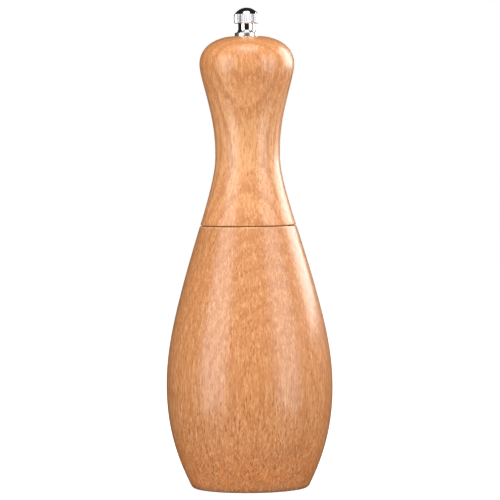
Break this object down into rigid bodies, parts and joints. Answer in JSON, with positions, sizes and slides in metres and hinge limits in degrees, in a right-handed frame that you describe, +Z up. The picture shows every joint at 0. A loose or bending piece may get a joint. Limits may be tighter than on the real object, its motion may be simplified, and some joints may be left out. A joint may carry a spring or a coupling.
{
  "type": "pepper mill",
  "caption": "Turned wooden pepper mill in a skittle shape, with a ribbed chrome adjusting knob, a lift-off head on a square shaft and a ceramic grinder in the base.",
  "frame": {"origin": "on the mill's axis, in the plane of the wooden ring that it stands on", "axes": "+Z up along the mill's axis; +X through the first mounting screw; +Y away from the front"},
  "size_m": [0.0746, 0.0746, 0.215],
  "materials": {
    "lacquered_wood": "honey-coloured close-grained hardwood under a semi-gloss clear lacquer",
    "chrome": "polished chrome plate",
    "plated_steel": "bright zinc or nickel plate, satin",
    "dark_plastic": "black moulded plastic, fine matt",
    "pale_plastic": "natural acetal, smooth and slightly waxy",
    "ceramic": "white fired ceramic, fine matt"
  },
  "bodies": {
    "body": {"body_shell": "lacquered_wood", "grinder_housing": "dark_plastic", "stator_burr": "ceramic", "bottom_bridge": "plated_steel", "mounting_screw_1": "plated_steel", "mounting_screw_2": "plated_steel", "mounting_screw_3": "plated_steel"},
    "drive_bush": {"shaft_bush": "pale_plastic", "rotor_spring": "plated_steel"},
    "spindle": {"drive_shaft": "plated_steel", "rotor_carrier": "dark_plastic", "rotor_burr": "ceramic", "rotor_washer": "plated_steel", "retaining_clip": "plated_steel"},
    "head": {"head_shell": "lacquered_wood", "driver_plate": "plated_steel", "plate_screw_1": "plated_steel", "plate_screw_2": "plated_steel", "plate_screw_3": "plated_steel"},
    "knob_washer": {"knob_washer": "chrome"},
    "knob": {"knob": "chrome"}
  },
  "joints": [
    {"name": "head_turn", "type": "hinge", "parent": "body", "child": "drive_bush", "pos_m": [0, 0, 0.1175], "axis": [0, 0, 1], "continuous": true},
    {"name": "grind_adjust", "type": "slide", "parent": "drive_bush", "child": "spindle", "axis": [0, 0, 1], "range_m": [0, 0.0014], "stiffness_N_per_m": 1000, "springref_m": -0.004, "deforming": ["rotor_spring"]},
    {"name": "head_lift", "type": "slide", "parent": "drive_bush", "child": "head", "axis": [0, 0, 1], "range_m": [0, 0.115]},
    {"name": "knob_lift", "type": "slide", "parent": "head", "child": "knob_washer", "axis": [0, 0, 1], "range_m": [0, 0.014]},
    {"name": "knob_turn", "type": "hinge", "parent": "knob_washer", "child": "knob", "pos_m": [0, 0, 0.209], "axis": [0, 0, -1], "range_deg": [0, 720]}
  ],
  "couplings": [
    {"joint": "knob_turn", "follows": "grind_adjust", "rad_per_m": 8976}
  ]
}
